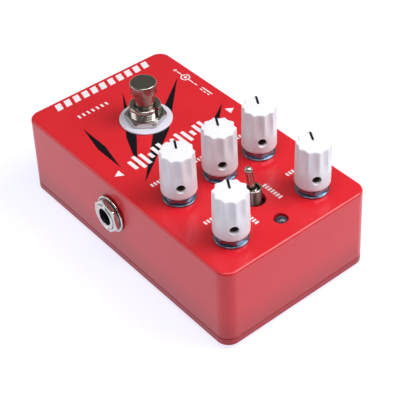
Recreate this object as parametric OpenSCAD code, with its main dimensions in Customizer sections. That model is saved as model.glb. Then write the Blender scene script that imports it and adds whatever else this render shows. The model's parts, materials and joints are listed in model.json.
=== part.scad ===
// Guitar effects pedal with five controls, a footswitch and a toggle switch.
//
// The origin is on the ground under the middle of the enclosure, and Z points up.
// Y runs the length of the pedal: the footswitch is at -Y, towards the player's foot,
// and the knobs are at +Y. The input jack is on +X, the output and power jacks are on -X.
// Everything is in millimetres.

/* [Enclosure] */
// Width of the top face
top_w = 65; // [64:0.5:80]
// Length of the top face
top_l = 115; // [115:0.5:130]
// Height from the base plate's underside to the top face
body_h = 33; // [33:0.5:42]
// How far each side leans out between the top face and the base plate
draft = 0.6; // [0.2:0.1:1.5]
// Radius of the upright corners
corner_r = 5; // [4:0.5:7]
// Radius of the edge around the top face
edge_r = 1; // [0.5:0.1:1.5]
// Thickness of the walls and of the top panel
wall = 2; // [1.6:0.1:2.2]
// Thickness of the base plate
plate_t = 3; // [2:0.1:3.2]
// Height of the rubber feet
foot_h = 2; // [1.5:0.5:5]

/* [Knobs and potentiometers] */
// Distance between neighbouring knobs, across the panel
knob_pitch = 18.3; // [18:0.1:20]
// Row of the treble, middle and bass knobs, from the middle of the panel
tone_row_y = 17; // [16:0.5:18]
// Row of the volume and gain knobs, from the middle of the panel
level_row_y = 44.2; // [42.2:0.5:45.2]
// Diameter of a knob's skirt
knob_d = 12.7; // [12:0.1:14]
// Height of a knob
knob_h = 17; // [15:0.1:18]
// Gap between the panel and the lower edge of a knob
knob_gap = 3.3; // [3.3:0.1:6]
// Number of finger flutes round a knob
flute_count = 10; // [6:1:12]
// Depth of a flute at the knob's top
flute_depth = 0.6; // [0.3:0.1:0.8]
// Direction of the pointer with the control turned fully down, in degrees from +X
pointer_turn = -121; // [-150:1:-90]
// Diameter of a potentiometer's shaft
shaft_d = 6; // [5.8:0.1:6]

/* [Footswitch] */
// Place of the footswitch along the panel
footswitch_y = -25.5; // [-30:0.5:-25]
// Diameter of the threaded bushing
bushing_d = 12; // [11.8:0.1:12]
// Height of the bushing above the panel
bushing_up = 7.3; // [6.5:0.1:8]
// Height of the button's top above the panel
button_up = 17.3; // [16.5:0.1:19]
// Diameter of the button's cap
button_d = 9.9; // [9:0.1:10]
// How far the button travels when it is pressed
button_travel = 3.8; // [2:0.1:4]
// Diameter of the nylon washer under the footswitch nut
nylon_d = 20; // [18:0.5:22]

/* [Toggle switch and status light] */
// Place of the toggle switch across the panel
toggle_x = 0.4; // [-0.5:0.1:0.5]
// Place of the toggle switch along the panel
toggle_y = 34.7; // [34:0.1:36]
// Height of the toggle bushing above the panel
toggle_up = 5.3; // [5:0.1:5.5]
// Lean of the lever from upright at each end of its throw
toggle_lean = 10; // [8:1:13]
// Place of the status light along the panel
led_y = 48.3; // [47:0.1:50]
// Diameter of the status light
led_d = 4.9; // [3:0.1:5]

/* [Jacks] */
// Place of the input and output jacks along the sides
jack_y = -4.5; // [-5:0.5:-4]
// Height of the jack axes above the base plate's underside
jack_up = 19.8; // [19:0.1:20]
// Diameter of the hole that takes the plug
plug_bore_d = 6.5; // [6.4:0.1:6.6]
// Place of the power jack along its side
power_y = -28; // [-30:0.5:-27]

/* [Hidden] */
$fn = 64;

// Clearances: a loose hole round a fixed part, and a running fit round a moving one
loose = 0.15;
running = 0.05;
// How far a cutting shape runs past the face it cuts
past = 1;

// Heights of the panel's two faces and of the base plate's top
panel_z = foot_h + body_h;
ceiling_z = panel_z - wall;
plate_z = foot_h + plate_t;
// Facets along each rounded corner of the enclosure, and along its top edge
corner_steps = 8;
edge_steps = 4;

// Corner posts and their screws
post_r = 4.2;
post_inset = 5.2;
screw_r = 1.45;
screw_head_r = 2.8;
screw_head_h = 1.5;
screw_l = 10;
foot_r = 5;
foot_inset = 11.5;

// The controls: x, y and how far the nut under the knob happens to be turned
controls = [
    [knob_pitch, level_row_y, 4],
    [-knob_pitch, level_row_y, 55],
    [knob_pitch, tone_row_y, 18],
    [0, tone_row_y, 6],
    [-knob_pitch, tone_row_y, 54]];
GAIN = 0;
VOLUME = 1;
TREBLE = 2;
MIDDLE = 3;
BASS = 4;

// Potentiometer: housing, threaded bushing, and the washer and nut on the panel
pot_w = 9.8;
pot_l = 11.4;
pot_h = 7;
pot_top_z = ceiling_z - 0.2;
pot_bushing_r = 3.5;
pot_bushing_up = 3.2;
pot_hole_r = 3.75;
pot_washer_r = 6;
pot_washer_t = 0.8;
pot_nut_flats = 10;
pot_nut_t = 2.1;
pot_roof_t = 1.3;
rotor_r = 4.1;
rotor_t = 1.2;
rotor_z = pot_top_z - 4.2;
pin_pitch = 2.5;

// Knob, its brass insert and set screw, measured up from the knob's lower edge
knob_r = knob_d/2;
knob_top_r = knob_r - 0.25;
knob_z = panel_z + knob_gap;
skirt_round = 1.1;
rim_round = 0.4;
flute_r = 2.6;
flute_start = 0.3*knob_h;
flute_fade = 5;
flute_turn = -11;
groove_w = 0.8;
groove_depth = 0.35;
groove_from = 0.9;
insert_r = 4.6;
insert_z = 0.6;
insert_h = 11.4;
set_screw_z = 5.2;
set_screw_hole_r = 1.6;
set_screw_thread_r = 1.35;
set_screw_r = 1.3;
set_screw_l = 2.4;
shaft_r = shaft_d/2;
shaft_flat = 2.1;
shaft_top = 11;

// Footswitch, from its terminals up to the washer on the panel
switch_w = 17.2;
switch_z = 14.5;
switch_top_z = 28;
switch_well_r = 5;
switch_floor_z = 16.2;
flange_t = 1;
lock_nut_t = 2.2;
footswitch_nut_flats = 14;
footswitch_nut_t = 2.4;
footswitch_nut_turn = 20;
nylon_t = 0.8;
button_shaft_r = 3.75;
button_cap_h = 4.4;
button_cap_cone_h = 1.2;
button_collar_r = 4.6;
button_collar_t = 1.2;
spring_r = 3.5;
spring_wire_r = 0.4;
spring_turns = 5;
keyway_w = 2;
keyway_depth = 1.1;
lug_pitch = 5.2;
switch_board_z = 9.5;
board_t = 1.6;

// Control board, hung under the potentiometers
board_z = 20.9;
board_top_z = board_z + board_t;

// Toggle switch
toggle_hole_r = 4;
toggle_hole_y = 35;
toggle_bushing_r = 3.05;
toggle_bore_r = 2.35;
toggle_pivot_z = panel_z + 3;
toggle_pin_r = 0.5;
toggle_pin_l = 5.4;
toggle_housing_top_z = ceiling_z - 1.6;
lever_l = 12.4;

// Jacks, in a frame whose X axis points out of the enclosure's right side
jack_z = foot_h + jack_up;
face_x = top_w/2 + draft*(body_h - jack_up)/body_h;
jack_hole_r = 4.9;
jack_body_from = 2.6;
jack_body_to = face_x - wall - 0.25;
jack_body_w = 16;
jack_body_h = 12;
jack_body_wall = 1.5;
lug_end = jack_body_h/2 + 2.6;
sleeve_r = 4.75;
sleeve_from = jack_body_to - 3.5;
sleeve_to = face_x + 3.45;
ring_r = 7.2;
ring_from = face_x + 0.2;
ring_t = 0.9;
jack_nut_flats = 12;
jack_nut_t = 2.1;
power_r = 5.9;
power_flange_r = 7;
power_flange_t = 1.8;
power_l = 14;
power_bore_r = 2.8;
power_bore_l = 10;
power_pin_r = 1.05;

// ---- Shapes used by several parts ----

// A closed solid through a stack of rings that have equal numbers of points
module skin(rings) {
    n = len(rings[0]);
    last = len(rings) - 1;
    polyhedron(
        points = [for (ring = rings) each ring],
        faces = concat(
            [[for (i = [0 : n - 1]) i]],
            [for (k = [0 : last - 1], i = [0 : n - 1])
                let (j = (i + 1) % n) [k*n + i, (k + 1)*n + i, (k + 1)*n + j, k*n + j]],
            [[for (i = [n - 1 : -1 : 0]) last*n + i]]),
        convexity = 6);
}

// One level of a rounded box: half width, half length, corner radius and height
function rounded_ring(half_w, half_l, r, z) = [
    for (corner = [0 : 3], k = [0 : corner_steps])
        let (
            a = 90*(corner + k/corner_steps),
            side_x = (corner == 0 || corner == 3) ? 1 : -1,
            side_y = (corner < 2) ? 1 : -1)
        [side_x*(half_w - r) + r*cos(a), side_y*(half_l - r) + r*sin(a), z]];

// How far the enclosure's sides stand out at a height, beyond the top face
function lean_at(z) = draft*(panel_z - z)/body_h;

// A cubic curve through p[0] and p[3], and its direction
function curve_at(p, s) = pow(1 - s, 3)*p[0] + 3*s*pow(1 - s, 2)*p[1]
    + 3*s*s*(1 - s)*p[2] + pow(s, 3)*p[3];
function curve_dir(p, s) = pow(1 - s, 2)*(p[1] - p[0]) + 2*s*(1 - s)*(p[2] - p[1])
    + s*s*(p[3] - p[2]);

// A flat outline carried along a curve, with its first axis kept square to the X axis
module swept(p, outline, steps = 12) {
    across = [1, 0, 0];
    skin([for (k = [0 : steps])
        let (
            s = k/steps,
            t = curve_dir(p, s)/norm(curve_dir(p, s)),
            u = cross(across, t)/norm(cross(across, t)),
            v = cross(t, u))
        [for (q = outline) curve_at(p, s) + q[0]*u + q[1]*v]]);
}

function circle_points(r, n) = [for (i = [0 : n - 1]) [r*cos(360*i/n), r*sin(360*i/n)]];
function arc(cx, cy, r, from, to, steps = 6) = [
    for (k = [0 : steps]) let (a = from + (to - from)*k/steps) [cx + r*cos(a), cy + r*sin(a)]];

module tube(r_out, r_in, h) {
    difference() {
        cylinder(r = r_out, h = h);
        translate([0, 0, -past]) cylinder(r = r_in, h = h + 2*past);
    }
}

// A hexagonal nut whose upper corners are turned off by a cone
module hex_nut(flats, hole_r, h) {
    r = flats/2/cos(30);
    difference() {
        intersection() {
            cylinder(r = r, h = h, $fn = 6);
            cylinder(r1 = r + h, r2 = flats/2 - 0.1, h = h);
        }
        translate([0, 0, -past]) cylinder(r = hole_r, h = h + 2*past);
    }
}

// Places its children at a control, with Z still measured from the ground
module at_control(i) {
    translate([controls[i][0], controls[i][1], 0]) children();
}

module at_corners(inset) {
    for (x = [-1, 1], y = [-1, 1])
        translate([x*(top_w/2 - inset), y*(top_l/2 - inset), 0]) children();
}

module at_footswitch() {
    translate([0, footswitch_y, 0]) children();
}

module at_toggle() {
    translate([toggle_x, toggle_y, 0]) children();
}

// Lays its children along the axis of a side jack: their Z becomes +X, out of the right side
module at_jack() {
    translate([0, jack_y, jack_z]) rotate([0, 90, 0]) children();
}

// The same for the power jack, pointing out of the left side
module at_power() {
    translate([0, power_y, jack_z]) rotate([0, -90, 0]) children();
}

// ---- Enclosure ----

module outer_block() {
    skin(concat(
        [rounded_ring(top_w/2 + lean_at(plate_z), top_l/2 + lean_at(plate_z), corner_r, plate_z)],
        [for (k = [0 : edge_steps])
            let (
                a = 90*k/edge_steps,
                inset = edge_r*(1 - cos(a)),
                z = panel_z - edge_r*(1 - sin(a)))
            rounded_ring(top_w/2 + lean_at(z) - inset, top_l/2 + lean_at(z) - inset,
                corner_r - inset, z)]));
}

module cavity_block() {
    skin([for (z = [plate_z - past, ceiling_z])
        rounded_ring(top_w/2 + lean_at(z) - wall, top_l/2 + lean_at(z) - wall,
            corner_r - wall, z)]);
}

module panel_hole(r) {
    translate([0, 0, ceiling_z - past]) cylinder(r = r, h = wall + 2*past);
}

module enclosure_shell() {
    color([0.86, 0.1, 0.12]) difference() {
        outer_block();
        difference() {
            cavity_block();
            at_corners(post_inset) cylinder(r = post_r, h = panel_z - wall/2);
        }
        at_corners(post_inset) cylinder(r = screw_r + loose, h = foot_h + screw_l + 2);
        for (i = [GAIN : BASS]) at_control(i) panel_hole(pot_hole_r);
        at_footswitch() panel_hole(bushing_d/2 + loose);
        translate([0, toggle_hole_y, 0]) panel_hole(toggle_hole_r);
        translate([0, led_y, 0]) panel_hole(led_d/2 + loose);
        for (side = [0, 1]) mirror([side, 0, 0])
            at_jack() translate([0, 0, face_x - 2*wall]) cylinder(r = jack_hole_r, h = 4*wall);
        at_power() translate([0, 0, face_x - 2*wall]) cylinder(r = power_r + loose, h = 4*wall);
    }
}

module base_plate() {
    rim = rounded_ring(top_w/2 + draft, top_l/2 + draft, corner_r, 0);
    lip_gap = 0.4;
    lip_h = 0.9;
    lip_w = 2*(top_w/2 + lean_at(plate_z) - wall - lip_gap);
    lip_l = 2*(top_l/2 + lean_at(plate_z) - wall - lip_gap);
    post_room = 2*(post_inset + post_r + lip_gap);
    color([0.8, 0.12, 0.14]) difference() {
        union() {
            translate([0, 0, foot_h]) linear_extrude(plate_t) polygon([for (p = rim) [p[0], p[1]]]);
            translate([0, 0, plate_z + lip_h/2 - past/2]) {
                cube([lip_w, top_l - post_room, lip_h + past], center = true);
                cube([top_w - post_room, lip_l, lip_h + past], center = true);
            }
        }
        at_corners(post_inset) {
            cylinder(r = screw_r + loose, h = plate_z + past);
            translate([0, 0, foot_h - 0.01])
                cylinder(r1 = screw_head_r + loose, r2 = screw_r + loose, h = screw_head_h + 0.1);
        }
    }
}

// Countersunk screw, head down at the height of the base plate's underside
module base_screw() {
    cross_w = 0.8;
    cross_l = 3.2;
    cross_depth = 1.2;
    translate([0, 0, foot_h + 0.1]) difference() {
        union() {
            cylinder(r1 = screw_head_r, r2 = screw_r, h = screw_head_h);
            cylinder(r = screw_r, h = screw_l);
        }
        for (turn = [0, 90]) rotate([0, 0, turn])
            cube([cross_l, cross_w, 2*cross_depth], center = true);
    }
}

module base_screws() {
    color([0.72, 0.73, 0.75]) at_corners(post_inset) base_screw();
}

module rubber_feet() {
    bevel = 0.5;
    color([0.06, 0.06, 0.06]) at_corners(foot_inset) rotate_extrude()
        polygon([[0, 0], [foot_r - bevel, 0], [foot_r, bevel], [foot_r, foot_h], [0, foot_h]]);
}

// ---- Potentiometers, with their fixings ----

module pot() {
    housing_z = pot_top_z - pot_h;
    color([0.62, 0.64, 0.66]) {
        difference() {
            union() {
                translate([-pot_w/2, -pot_l/2, housing_z]) cube([pot_w, pot_l, pot_h]);
                translate([0, 0, pot_top_z - past])
                    cylinder(r = pot_bushing_r, h = panel_z + pot_bushing_up - pot_top_z + past);
            }
            translate([0, 0, housing_z + pot_roof_t])
                cylinder(r = rotor_r + 0.3, h = pot_h - 2*pot_roof_t);
            translate([0, 0, housing_z + pot_roof_t]) cylinder(r = shaft_r + running, h = 2*pot_h + wall);
        }
        for (i = [-1, 0, 1]) translate([i*pin_pitch - 0.5, pot_l/2 - 1, board_top_z])
            cube([1, 0.6, housing_z - board_top_z + 0.5]);
    }
}

module gain_pot() { at_control(GAIN) pot(); }
module volume_pot() { at_control(VOLUME) pot(); }
module treble_pot() { at_control(TREBLE) pot(); }
module middle_pot() { at_control(MIDDLE) pot(); }
module bass_pot() { at_control(BASS) pot(); }

module pot_washers() {
    color([0.75, 0.76, 0.78]) for (i = [GAIN : BASS]) at_control(i)
        translate([0, 0, panel_z]) tube(pot_washer_r, pot_bushing_r + loose, pot_washer_t);
}

module pot_nuts() {
    color([0.8, 0.81, 0.83]) for (i = [GAIN : BASS]) at_control(i)
        translate([0, 0, panel_z + pot_washer_t]) rotate([0, 0, controls[i][2]])
            hex_nut(pot_nut_flats, pot_bushing_r + loose, pot_nut_t);
}

// ---- Knobs and what turns with them ----

function knob_outline() = concat(
    [[0, 0]],
    arc(knob_r - skirt_round, skirt_round, skirt_round, -90, 0),
    arc(knob_top_r - rim_round, knob_h - rim_round, rim_round, 0, 90, 3),
    [[0, knob_h]]);

// The knob's lower edge is at the origin and its set-screw hole faces +X
module knob() {
    color([0.95, 0.95, 0.97]) difference() {
        rotate_extrude() polygon(knob_outline());
        for (i = [0 : flute_count - 1]) rotate([0, 0, flute_turn + 360*i/flute_count])
            translate([knob_top_r + flute_r - flute_depth, 0, flute_start]) {
                cylinder(r1 = flute_r - 2*flute_depth, r2 = flute_r, h = flute_fade);
                translate([0, 0, flute_fade - 0.01]) cylinder(r = flute_r, h = knob_h);
            }
        translate([0, 0, -past]) cylinder(r = insert_r, h = past + insert_z + insert_h);
        translate([0, 0, set_screw_z]) rotate([0, 90, 0])
            cylinder(r = set_screw_hole_r, h = knob_d);
        translate([-knob_d, -groove_w/2, knob_h - groove_depth])
            cube([knob_d - groove_from, groove_w, 2*groove_depth]);
    }
}

module knob_insert() {
    color([0.8, 0.62, 0.3]) difference() {
        translate([0, 0, insert_z]) tube(insert_r, shaft_r + 0.02, insert_h);
        translate([0, 0, set_screw_z]) rotate([0, 90, 0])
            cylinder(r = set_screw_thread_r, h = knob_d);
    }
}

module set_screw() {
    socket_r = 0.75;
    color([0.3, 0.3, 0.32]) translate([0, 0, set_screw_z]) rotate([0, 90, 0])
        translate([0, 0, shaft_flat]) difference() {
            cylinder(r = set_screw_r, h = set_screw_l);
            translate([0, 0, set_screw_l/2]) cylinder(r = socket_r, h = set_screw_l, $fn = 6);
        }
}

// D-shaped shaft with its flat towards +X, and the rotor that turns in the housing
module pot_shaft() {
    color([0.78, 0.79, 0.8]) difference() {
        union() {
            translate([0, 0, rotor_z - 1.2]) cylinder(r = shaft_r, h = knob_z + shaft_top - rotor_z + 1.2);
            translate([0, 0, rotor_z]) cylinder(r = rotor_r, h = rotor_t);
        }
        translate([shaft_flat, -knob_r, knob_z]) cube([knob_r, knob_d, knob_h]);
    }
}

// Turns a knob's parts so that the pointer, opposite the set screw, is at its stop
module turned_down() {
    rotate([0, 0, pointer_turn + 180]) children();
}

module on_shaft(i) {
    at_control(i) translate([0, 0, knob_z]) turned_down() children();
}

module gain_shaft() { at_control(GAIN) turned_down() pot_shaft(); }
module gain_insert() { on_shaft(GAIN) knob_insert(); }
module gain_set_screw() { on_shaft(GAIN) set_screw(); }
module gain_knob() { on_shaft(GAIN) knob(); }

module volume_shaft() { at_control(VOLUME) turned_down() pot_shaft(); }
module volume_insert() { on_shaft(VOLUME) knob_insert(); }
module volume_set_screw() { on_shaft(VOLUME) set_screw(); }
module volume_knob() { on_shaft(VOLUME) knob(); }

module treble_shaft() { at_control(TREBLE) turned_down() pot_shaft(); }
module treble_insert() { on_shaft(TREBLE) knob_insert(); }
module treble_set_screw() { on_shaft(TREBLE) set_screw(); }
module treble_knob() { on_shaft(TREBLE) knob(); }

module middle_shaft() { at_control(MIDDLE) turned_down() pot_shaft(); }
module middle_insert() { on_shaft(MIDDLE) knob_insert(); }
module middle_set_screw() { on_shaft(MIDDLE) set_screw(); }
module middle_knob() { on_shaft(MIDDLE) knob(); }

module bass_shaft() { at_control(BASS) turned_down() pot_shaft(); }
module bass_insert() { on_shaft(BASS) knob_insert(); }
module bass_set_screw() { on_shaft(BASS) set_screw(); }
module bass_knob() { on_shaft(BASS) knob(); }

// ---- Footswitch ----

module footswitch_housing() {
    color([0.1, 0.2, 0.5]) at_footswitch() difference() {
        translate([-switch_w/2, -switch_w/2, switch_z])
            cube([switch_w, switch_w, switch_top_z - switch_z]);
        translate([0, 0, switch_floor_z]) cylinder(r = switch_well_r, h = switch_top_z);
    }
}

module footswitch_bushing() {
    ring_bore_r = bushing_d/2 - 0.8;
    ring_depth = 1;
    top_z = panel_z + bushing_up;
    color([0.78, 0.78, 0.76]) at_footswitch() difference() {
        union() {
            translate([-switch_w/2, -switch_w/2, switch_top_z]) cube([switch_w, switch_w, flange_t]);
            translate([0, 0, switch_top_z]) cylinder(r = bushing_d/2, h = top_z - switch_top_z);
        }
        translate([0, 0, switch_top_z - past])
            cylinder(r = button_shaft_r + running, h = top_z);
        translate([0, 0, top_z - ring_depth]) cylinder(r = ring_bore_r, h = 2*ring_depth);
        translate([-keyway_w/2, bushing_d/2 - keyway_depth, panel_z])
            cube([keyway_w, bushing_d, bushing_up + past]);
    }
}

module footswitch_terminals() {
    lug_w = 2.2;
    lug_t = 0.8;
    color([0.8, 0.78, 0.7]) at_footswitch() for (i = [-1 : 1], j = [-1 : 1])
        translate([i*lug_pitch - lug_w/2, j*lug_pitch - lug_t/2, switch_board_z - 0.6])
            cube([lug_w, lug_t, switch_z - switch_board_z + 0.6]);
}

module footswitch_lock_nut() {
    color([0.75, 0.75, 0.73]) at_footswitch() translate([0, 0, ceiling_z - lock_nut_t])
        hex_nut(footswitch_nut_flats, bushing_d/2 + loose, lock_nut_t);
}

module footswitch_washer() {
    color([0.92, 0.9, 0.92]) at_footswitch() translate([0, 0, panel_z])
        tube(nylon_d/2, bushing_d/2 + loose, nylon_t);
}

module footswitch_nut() {
    color([0.8, 0.79, 0.77]) at_footswitch() translate([0, 0, panel_z + nylon_t])
        rotate([0, 0, footswitch_nut_turn])
            hex_nut(footswitch_nut_flats, bushing_d/2 + loose, footswitch_nut_t);
}

// The button's cap, its shaft, and the collar that holds it in the housing
module footswitch_button() {
    cap_r = button_d/2;
    rim = 0.5;
    dome = 0.35;
    top_z = panel_z + button_up;
    cap_z = top_z - button_cap_h;
    collar_z = switch_top_z - 0.3 - button_collar_t;
    color([0.82, 0.82, 0.8]) at_footswitch() rotate_extrude() polygon([
        [0, collar_z], [button_collar_r, collar_z], [button_collar_r, collar_z + button_collar_t],
        [button_shaft_r, collar_z + button_collar_t], [button_shaft_r, cap_z - button_cap_cone_h],
        [cap_r, cap_z], [cap_r, top_z - dome - rim], [cap_r - 0.15, top_z - dome - 0.2],
        [cap_r - rim, top_z - dome], [cap_r/2, top_z - dome/4], [0, top_z]]);
}

module footswitch_spring() {
    steps = 14;
    low_z = switch_floor_z + spring_wire_r + 0.1;
    high_z = switch_top_z - 0.3 - button_collar_t - spring_wire_r - 0.1;
    pitch = (high_z - low_z)/spring_turns;
    color([0.7, 0.7, 0.72]) at_footswitch() skin([for (k = [spring_turns*steps : -1 : 0])
        let (a = 360*k/steps, c = [cos(a), sin(a), 0])
        [for (q = circle_points(spring_wire_r, 8))
            (spring_r + q[0])*c + [0, 0, low_z + pitch*k/steps - q[1]]]]);
}

// ---- Boards and wiring ----

module control_board() {
    half_w = 28;
    tongue_half_w = 14;
    color([0.1, 0.4, 0.2]) translate([0, 0, board_z]) linear_extrude(board_t)
        polygon([[-half_w, 8], [half_w, 8], [half_w, 46], [tongue_half_w, 46],
            [tongue_half_w, 54], [-tongue_half_w, 54], [-tongue_half_w, 46], [-half_w, 46]]);
}

// Two eight-legged chips under the board
module board_chips() {
    chip = [9.5, 6.4, 3.4];
    leg_pitch = 2.54;
    color([0.08, 0.08, 0.09]) for (x = [-11, 8]) translate([x, 28, board_z - chip[2]]) {
        cube([chip[0], chip[1], chip[2] - 0.6]);
        for (i = [0 : 3], y = [-0.5, chip[1]])
            translate([0.7 + i*leg_pitch, y, 0.8]) cube([0.5, 0.5, chip[2] - 0.8]);
    }
}

// Upright capacitors under the board: electrolytic cans in two sizes
module board_capacitors() {
    cans = [[-22, 16, 2.5], [-15, 14, 2.5], [15, 14, 3.2], [22, 18, 2.5],
        [-22, 36, 3.2], [22, 36, 3.2], [0, 42, 2.5], [-8, 46, 2.5]];
    can_h = 8;
    color([0.12, 0.14, 0.3]) for (c = cans)
        translate([c[0], c[1], board_z - can_h]) cylinder(r = c[2], h = can_h);
}

module switch_board() {
    board_w = 20;
    hole_w = 2.6;
    hole_t = 1.2;
    color([0.1, 0.4, 0.2]) at_footswitch() difference() {
        translate([-board_w/2, -board_w/2, switch_board_z]) cube([board_w, board_w, board_t]);
        for (i = [-1 : 1], j = [-1 : 1])
            translate([i*lug_pitch - hole_w/2, j*lug_pitch - hole_t/2, switch_board_z - past])
                cube([hole_w, hole_t, board_t + 2*past]);
    }
}

// Flat cable from the footswitch board to the control board, under the jacks
module ribbon_cable() {
    half_w = 6;
    half_t = 0.4;
    flat = [[-half_t, -half_w], [half_t, -half_w], [half_t, half_w], [-half_t, half_w]];
    route = [[0, -17, switch_board_z], [0, -17, 5.5], [0, 12, 5.5], [0, 12, board_z]];
    color([0.6, 0.6, 0.62]) swept(route, flat);
}

// Wires from the jacks' contacts down and up again to the footswitch board's underside
module jack_wires() {
    wire_r = 0.6;
    lug_z = jack_z - lug_end;
    low_z = 6;
    routes = [
        [[9, -9.2, lug_z], [9, -9.2, low_z], [8, -17, low_z], [8, -17, switch_board_z]],
        [[17, -9.2, lug_z], [17, -9.2, low_z], [8.6, -21, low_z], [8.6, -21, switch_board_z]]];
    color([0.15, 0.15, 0.16]) for (side = [0, 1], route = routes)
        mirror([side, 0, 0]) swept(route, circle_points(wire_r, 8), 10);
}

// ---- Toggle switch and status light ----

module toggle_housing() {
    box = [12.7, 7, toggle_housing_top_z - board_top_z];
    room = [8.6, 4.6, 4.4];
    color([0.12, 0.12, 0.13]) at_toggle() difference() {
        translate([-box[0]/2, -box[1]/2, board_top_z]) cube(box);
        translate([-room[0]/2, -room[1]/2, toggle_housing_top_z - room[2]])
            cube([room[0], room[1], room[2] + past]);
    }
}

module toggle_bushing() {
    mouth = 0.4;
    cover_t = 0.5;
    top_z = panel_z + toggle_up;
    color([0.8, 0.8, 0.82]) at_toggle() difference() {
        union() {
            translate([-6.35, -3.5, toggle_housing_top_z]) cube([12.7, 7, cover_t]);
            translate([0, 0, toggle_housing_top_z])
                cylinder(r = toggle_bushing_r, h = top_z - toggle_housing_top_z - mouth);
            translate([0, 0, top_z - mouth - 0.01])
                cylinder(r1 = toggle_bushing_r, r2 = toggle_bushing_r - mouth, h = mouth);
        }
        translate([0, 0, toggle_housing_top_z - past]) cylinder(r = toggle_bore_r, h = 2*wall + top_z);
        translate([0, 0, toggle_pivot_z]) rotate([90, 0, 0])
            cylinder(r = toggle_pin_r + running, h = toggle_pin_l + 0.3, center = true);
    }
}

// The lever leans towards +X, about a pin across the bushing, just under its mouth
module toggle_lever() {
    ball_r = toggle_bore_r - running;
    neck_r = 1.2;
    tip_r = 1.45;
    tail_r = 0.9;
    tail_l = 5;
    color([0.82, 0.82, 0.84]) at_toggle() translate([0, 0, toggle_pivot_z])
        rotate([0, toggle_lean, 0]) union() {
            sphere(r = ball_r);
            rotate([90, 0, 0]) cylinder(r = toggle_pin_r, h = toggle_pin_l, center = true);
            cylinder(r1 = neck_r, r2 = tip_r, h = lever_l - tip_r);
            translate([0, 0, lever_l - tip_r]) sphere(r = tip_r);
            translate([0, 0, -tail_l]) cylinder(r = tail_r, h = tail_l);
        }
}

module status_led() {
    r = led_d/2;
    flange_z = 27;
    leg = 0.5;
    leg_gap = 2.54;
    color([0.35, 0.36, 0.4]) translate([0, led_y, 0]) {
        rotate_extrude() polygon(concat(
            [[0, flange_z], [r + 0.45, flange_z], [r + 0.45, flange_z + 1], [r, flange_z + 1]],
            arc(0, panel_z + 0.3 - r, r, 0, 90, 10)));
        for (x = [-1, 1]) translate([x*leg_gap/2 - leg/2, -leg/2, board_top_z])
            cube([leg, leg, flange_z - board_top_z]);
    }
}

// ---- Jacks ----

// A box with a hollow for the plug and the contacts, and slots for the contacts' lugs.
// Here X is down, because at_jack lays Z along the jack's axis.
module jack_body() {
    length = jack_body_to - jack_body_from;
    half_h = jack_body_h/2;
    half_w = jack_body_w/2;
    slot = [2*jack_body_wall + 1, 2.6, 1.2];
    color([0.13, 0.13, 0.14]) difference() {
        translate([-half_h, -half_w, jack_body_from]) cube([jack_body_h, jack_body_w, length]);
        translate([jack_body_wall - half_h, jack_body_wall - half_w, jack_body_from + jack_body_wall])
            cube([jack_body_h - 2*jack_body_wall, jack_body_w - 2*jack_body_wall,
                sleeve_from - jack_body_from - jack_body_wall]);
        translate([0, 0, sleeve_from - past]) cylinder(r = sleeve_r, h = length);
        for (lug_at = [9, 17]) translate([half_h - slot[0]/2, -5.8, lug_at - slot[2]/2]) cube(slot);
    }
}

// Threaded metal sleeve with the plug's bore and a chamfered mouth
module jack_sleeve() {
    bore_r = plug_bore_d/2;
    mouth = 0.4;
    edge = 0.3;
    color([0.8, 0.79, 0.77]) rotate_extrude() polygon([
        [bore_r, sleeve_from], [sleeve_r, sleeve_from], [sleeve_r, sleeve_to - edge],
        [sleeve_r - edge, sleeve_to], [bore_r + mouth, sleeve_to], [bore_r, sleeve_to - mouth]]);
}

// Two leaf springs beside the plug, each with a lug through the underside of the body
module jack_contacts() {
    leaf_t = 0.4;
    leaf_w = 4;
    lug_w = 2;
    color([0.82, 0.75, 0.5]) for (lug_at = [9, 17]) {
        translate([-leaf_w/2, -4.6 - leaf_t, lug_at - 3.5]) cube([leaf_w + 2, leaf_t, 7]);
        translate([0, -4.6 - lug_w + 0.9, lug_at - leaf_t/2]) cube([lug_end, lug_w, leaf_t]);
    }
}

module input_jack_body() { at_jack() jack_body(); }
module input_jack_sleeve() { at_jack() jack_sleeve(); }
module input_jack_contacts() { at_jack() jack_contacts(); }
module output_jack_body() { mirror([1, 0, 0]) at_jack() jack_body(); }
module output_jack_sleeve() { mirror([1, 0, 0]) at_jack() jack_sleeve(); }
module output_jack_contacts() { mirror([1, 0, 0]) at_jack() jack_contacts(); }

module jack_washers() {
    color([0.8, 0.79, 0.77]) for (side = [0, 1]) mirror([side, 0, 0]) at_jack()
        translate([0, 0, ring_from]) tube(ring_r, sleeve_r + loose, ring_t);
}

module jack_nuts() {
    turn = 12;
    color([0.78, 0.77, 0.75]) for (side = [0, 1]) mirror([side, 0, 0]) at_jack()
        translate([0, 0, ring_from + ring_t]) rotate([0, 0, turn])
            hex_nut(jack_nut_flats, sleeve_r + loose, jack_nut_t);
}

// Round power inlet: a flange outside, a barrel through the wall and a blind socket
module power_jack_body() {
    front = face_x + 0.2;
    tip = front + power_flange_t;
    edge = 0.5;
    color([0.08, 0.08, 0.09]) at_power() difference() {
        union() {
            translate([0, 0, front - power_l]) cylinder(r = power_r, h = power_l + edge);
            translate([0, 0, front]) cylinder(r = power_flange_r, h = power_flange_t - edge);
            translate([0, 0, tip - edge])
                cylinder(r1 = power_flange_r, r2 = power_flange_r - edge, h = edge);
        }
        translate([0, 0, tip - power_bore_l]) cylinder(r = power_bore_r, h = power_l);
        translate([0, 0, front - power_l - past]) cylinder(r = power_pin_r + 0.02, h = power_l);
    }
}

// Centre pin, with its solder lug behind the barrel
module power_jack_pin() {
    front = face_x + 0.2;
    lug_l = 3;
    color([0.8, 0.79, 0.75]) at_power()
        translate([0, 0, front - power_l - lug_l]) cylinder(r = power_pin_r, h = power_l + lug_l);
}

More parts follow.
